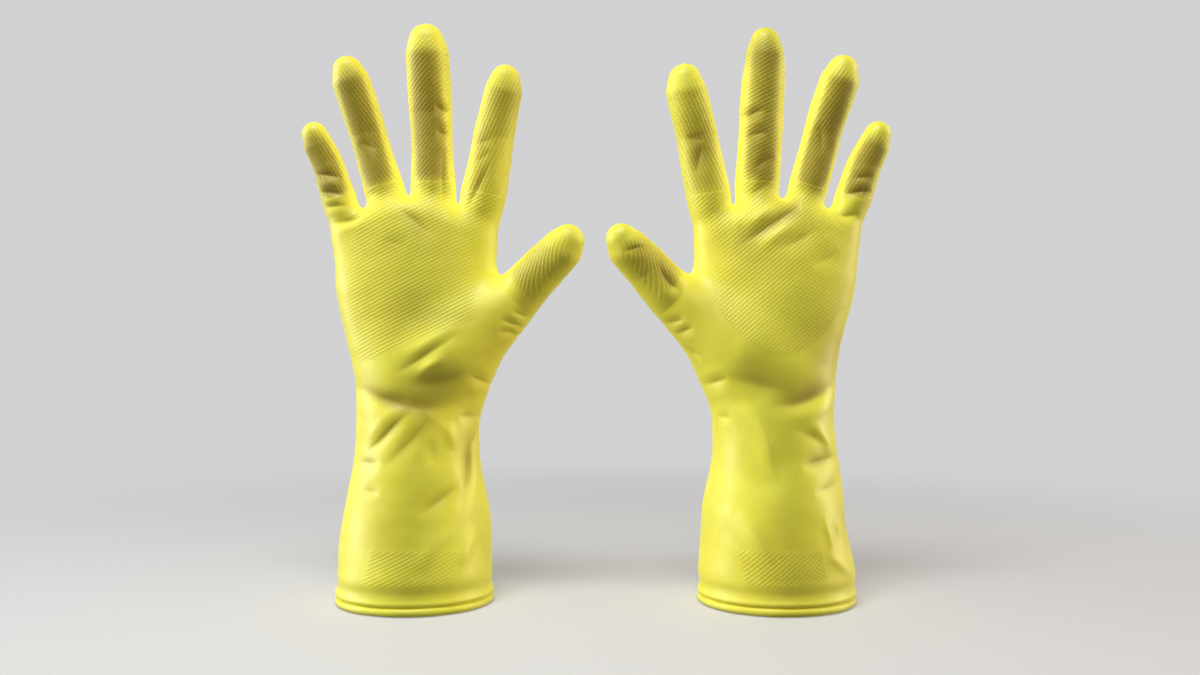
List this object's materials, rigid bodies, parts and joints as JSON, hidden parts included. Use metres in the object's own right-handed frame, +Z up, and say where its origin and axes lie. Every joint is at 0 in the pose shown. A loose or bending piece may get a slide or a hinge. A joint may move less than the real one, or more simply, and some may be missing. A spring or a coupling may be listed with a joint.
{
  "type": "rubber gloves",
  "caption": "Pair of flock-lined latex household gloves with gripping palms and rolled cuff beads, standing open on their cuffs.",
  "frame": {"origin": "on the floor midway between the two gloves, at the bottom centre of the pair's box", "axes": "+Z up from the cuffs to the fingertips, -Y the way the palms face, +X from the right-hand glove to the left-hand glove"},
  "size_m": [0.3078, 0.084, 0.3007],
  "materials": {
    "film": "soft satin dipped latex, lemon yellow, with an embossed grip on the palm side",
    "bead": "rolled latex, satin",
    "crease": "soft satin dipped latex, folded",
    "lining": "short cotton flock"
  },
  "bodies": {
    "right_cuff": {"right_cuff": "film", "right_cuff_bead": "bead", "right_cuff_lining": "lining", "right_wrist_crease": "crease"},
    "right_hand": {"right_hand": "film", "right_hand_lining": "lining"},
    "right_little_lower": {"right_little_lower": "film", "right_little_creases": "crease", "right_little_lining": "lining"},
    "right_little_upper": {"right_little_upper": "film"},
    "right_ring_lower": {"right_ring_lower": "film", "right_ring_creases": "crease", "right_ring_lining": "lining"},
    "right_ring_upper": {"right_ring_upper": "film"},
    "right_middle_lower": {"right_middle_lower": "film", "right_middle_creases": "crease", "right_middle_lining": "lining"},
    "right_middle_upper": {"right_middle_upper": "film"},
    "right_index_lower": {"right_index_lower": "film", "right_index_creases": "crease", "right_index_lining": "lining"},
    "right_index_upper": {"right_index_upper": "film"},
    "right_thumb_lower": {"right_thumb_lower": "film", "right_thumb_creases": "crease", "right_thumb_lining": "lining"},
    "right_thumb_upper": {"right_thumb_upper": "film"},
    "left_cuff": {"left_cuff": "film", "left_cuff_bead": "bead", "left_cuff_lining": "lining", "left_wrist_crease": "crease"},
    "left_hand": {"left_hand": "film", "left_hand_lining": "lining"},
    "left_little_lower": {"left_little_lower": "film", "left_little_creases": "crease", "left_little_lining": "lining"},
    "left_little_upper": {"left_little_upper": "film"},
    "left_ring_lower": {"left_ring_lower": "film", "left_ring_creases": "crease", "left_ring_lining": "lining"},
    "left_ring_upper": {"left_ring_upper": "film"},
    "left_middle_lower": {"left_middle_lower": "film", "left_middle_creases": "crease", "left_middle_lining": "lining"},
    "left_middle_upper": {"left_middle_upper": "film"},
    "left_index_lower": {"left_index_lower": "film", "left_index_creases": "crease", "left_index_lining": "lining"},
    "left_index_upper": {"left_index_upper": "film"},
    "left_thumb_lower": {"left_thumb_lower": "film", "left_thumb_creases": "crease", "left_thumb_lining": "lining"},
    "left_thumb_upper": {"left_thumb_upper": "film"}
  },
  "joints": [
    {"name": "right_wrist_bend", "type": "hinge", "parent": "right_cuff", "child": "right_hand", "pos_m": [-0.093, -0.0098, 0.088], "axis": [1, 0, 0], "range_deg": [0, 40], "stiffness_Nm_per_rad": 0.4, "deforming": ["right_wrist_crease"]},
    {"name": "right_little_root_bend", "type": "hinge", "parent": "right_hand", "child": "right_little_lower", "pos_m": [-0.13505, -0.00335, 0.21078], "axis": [0.9511, 0, 0.309], "range_deg": [0, 60], "stiffness_Nm_per_rad": 0.02, "deforming": ["right_little_creases", "right_little_lining"]},
    {"name": "right_little_middle_bend", "type": "hinge", "parent": "right_little_lower", "child": "right_little_upper", "pos_m": [-0.14091, -0.00454, 0.22881], "axis": [0.9511, 0, 0.309], "range_deg": [0, 60], "stiffness_Nm_per_rad": 0.02, "deforming": ["right_little_creases", "right_little_lining"]},
    {"name": "right_ring_root_bend", "type": "hinge", "parent": "right_hand", "child": "right_ring_lower", "pos_m": [-0.11193, -0.0037, 0.21675], "axis": [0.9659, 0, 0.2588], "range_deg": [0, 60], "stiffness_Nm_per_rad": 0.02, "deforming": ["right_ring_creases", "right_ring_lining"]},
    {"name": "right_ring_middle_bend", "type": "hinge", "parent": "right_ring_lower", "child": "right_ring_upper", "pos_m": [-0.11942, -0.00562, 0.2447], "axis": [0.9659, 0, 0.2588], "range_deg": [0, 60], "stiffness_Nm_per_rad": 0.02, "deforming": ["right_ring_creases", "right_ring_lining"]},
    {"name": "right_middle_root_bend", "type": "hinge", "parent": "right_hand", "child": "right_middle_lower", "pos_m": [-0.0853, -0.00409, 0.21871], "axis": [0.9994, 0, 0.0349], "range_deg": [0, 60], "stiffness_Nm_per_rad": 0.02, "deforming": ["right_middle_creases", "right_middle_lining"]},
    {"name": "right_middle_middle_bend", "type": "hinge", "parent": "right_middle_lower", "child": "right_middle_upper", "pos_m": [-0.08659, -0.00656, 0.25561], "axis": [0.9994, 0, 0.0349], "range_deg": [0, 60], "stiffness_Nm_per_rad": 0.02, "deforming": ["right_middle_creases", "right_middle_lining"]},
    {"name": "right_index_root_bend", "type": "hinge", "parent": "right_hand", "child": "right_index_lower", "pos_m": [-0.05884, -0.00409, 0.21272], "axis": [0.9848, 0, -0.1736], "range_deg": [0, 60], "stiffness_Nm_per_rad": 0.02, "deforming": ["right_index_creases", "right_index_lining"]},
    {"name": "right_index_middle_bend", "type": "hinge", "parent": "right_index_lower", "child": "right_index_upper", "pos_m": [-0.05347, -0.00604, 0.24319], "axis": [0.9848, 0, -0.1736], "range_deg": [0, 60], "stiffness_Nm_per_rad": 0.02, "deforming": ["right_index_creases", "right_index_lining"]},
    {"name": "right_thumb_root_bend", "type": "hinge", "parent": "right_hand", "child": "right_thumb_lower", "pos_m": [-0.04408, -0.00958, 0.1586], "axis": [0.503, -0.5514, -0.6656], "range_deg": [0, 40], "stiffness_Nm_per_rad": 0.02, "deforming": ["right_thumb_creases", "right_thumb_lining"]},
    {"name": "right_thumb_middle_bend", "type": "hinge", "parent": "right_thumb_lower", "child": "right_thumb_upper", "pos_m": [-0.02828, -0.0157, 0.17561], "axis": [0.503, -0.5514, -0.6656], "range_deg": [0, 40], "stiffness_Nm_per_rad": 0.02, "deforming": ["right_thumb_creases", "right_thumb_lining"]},
    {"name": "gloves_apart", "type": "slide", "parent": "right_cuff", "child": "left_cuff", "axis": [1, 0, 0], "range_m": [0, 0.2]},
    {"name": "left_wrist_bend", "type": "hinge", "parent": "left_cuff", "child": "left_hand", "pos_m": [0.093, -0.0098, 0.088], "axis": [1, 0, 0], "range_deg": [0, 40], "stiffness_Nm_per_rad": 0.4, "deforming": ["left_wrist_crease"]},
    {"name": "left_little_root_bend", "type": "hinge", "parent": "left_hand", "child": "left_little_lower", "pos_m": [0.13505, -0.00335, 0.21078], "axis": [0.9511, 0, -0.309], "range_deg": [0, 60], "stiffness_Nm_per_rad": 0.02, "deforming": ["left_little_creases", "left_little_lining"]},
    {"name": "left_little_middle_bend", "type": "hinge", "parent": "left_little_lower", "child": "left_little_upper", "pos_m": [0.14091, -0.00454, 0.22881], "axis": [0.9511, 0, -0.309], "range_deg": [0, 60], "stiffness_Nm_per_rad": 0.02, "deforming": ["left_little_creases", "left_little_lining"]},
    {"name": "left_ring_root_bend", "type": "hinge", "parent": "left_hand", "child": "left_ring_lower", "pos_m": [0.11193, -0.0037, 0.21675], "axis": [0.9659, 0, -0.2588], "range_deg": [0, 60], "stiffness_Nm_per_rad": 0.02, "deforming": ["left_ring_creases", "left_ring_lining"]},
    {"name": "left_ring_middle_bend", "type": "hinge", "parent": "left_ring_lower", "child": "left_ring_upper", "pos_m": [0.11942, -0.00562, 0.2447], "axis": [0.9659, 0, -0.2588], "range_deg": [0, 60], "stiffness_Nm_per_rad": 0.02, "deforming": ["left_ring_creases", "left_ring_lining"]},
    {"name": "left_middle_root_bend", "type": "hinge", "parent": "left_hand", "child": "left_middle_lower", "pos_m": [0.0853, -0.00409, 0.21871], "axis": [0.9994, 0, -0.0349], "range_deg": [0, 60], "stiffness_Nm_per_rad": 0.02, "deforming": ["left_middle_creases", "left_middle_lining"]},
    {"name": "left_middle_middle_bend", "type": "hinge", "parent": "left_middle_lower", "child": "left_middle_upper", "pos_m": [0.08659, -0.00656, 0.25561], "axis": [0.9994, 0, -0.0349], "range_deg": [0, 60], "stiffness_Nm_per_rad": 0.02, "deforming": ["left_middle_creases", "left_middle_lining"]},
    {"name": "left_index_root_bend", "type": "hinge", "parent": "left_hand", "child": "left_index_lower", "pos_m": [0.05884, -0.00409, 0.21272], "axis": [0.9848, 0, 0.1736], "range_deg": [0, 60], "stiffness_Nm_per_rad": 0.02, "deforming": ["left_index_creases", "left_index_lining"]},
    {"name": "left_index_middle_bend", "type": "hinge", "parent": "left_index_lower", "child": "left_index_upper", "pos_m": [0.05347, -0.00604, 0.24319], "axis": [0.9848, 0, 0.1736], "range_deg": [0, 60], "stiffness_Nm_per_rad": 0.02, "deforming": ["left_index_creases", "left_index_lining"]},
    {"name": "left_thumb_root_bend", "type": "hinge", "parent": "left_hand", "child": "left_thumb_lower", "pos_m": [0.04408, -0.00958, 0.1586], "axis": [0.503, 0.5514, 0.6656], "range_deg": [0, 40], "stiffness_Nm_per_rad": 0.02, "deforming": ["left_thumb_creases", "left_thumb_lining"]},
    {"name": "left_thumb_middle_bend", "type": "hinge", "parent": "left_thumb_lower", "child": "left_thumb_upper", "pos_m": [0.02828, -0.0157, 0.17561], "axis": [0.503, 0.5514, 0.6656], "range_deg": [0, 40], "stiffness_Nm_per_rad": 0.02, "deforming": ["left_thumb_creases", "left_thumb_lining"]}
  ]
}
